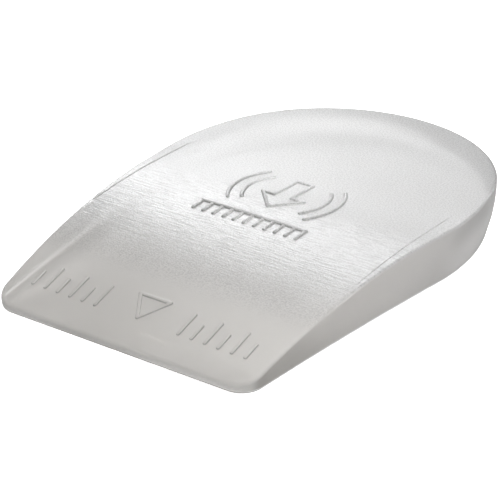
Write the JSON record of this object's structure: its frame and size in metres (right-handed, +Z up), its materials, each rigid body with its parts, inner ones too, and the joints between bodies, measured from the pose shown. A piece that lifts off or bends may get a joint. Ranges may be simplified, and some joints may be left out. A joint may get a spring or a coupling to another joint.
{
  "type": "silicone heel lift",
  "caption": "Solid translucent silicone wedge with a round heel, level heel seat and convex ramp to a thin toe edge; lies in a shoe to raise the heel.",
  "frame": {"origin": "middle of the flat sole, where the lift rests", "axes": "+Y toward the round heel, -Y toward the thin toe edge, +Z up from the sole, +X to the right seen from the toe"},
  "size_m": [0.0596, 0.088, 0.0104],
  "materials": {
    "silicone": "milky translucent, satin"
  },
  "bodies": {
    "root": {"lift_body": "silicone"}
  },
  "joints": []
}
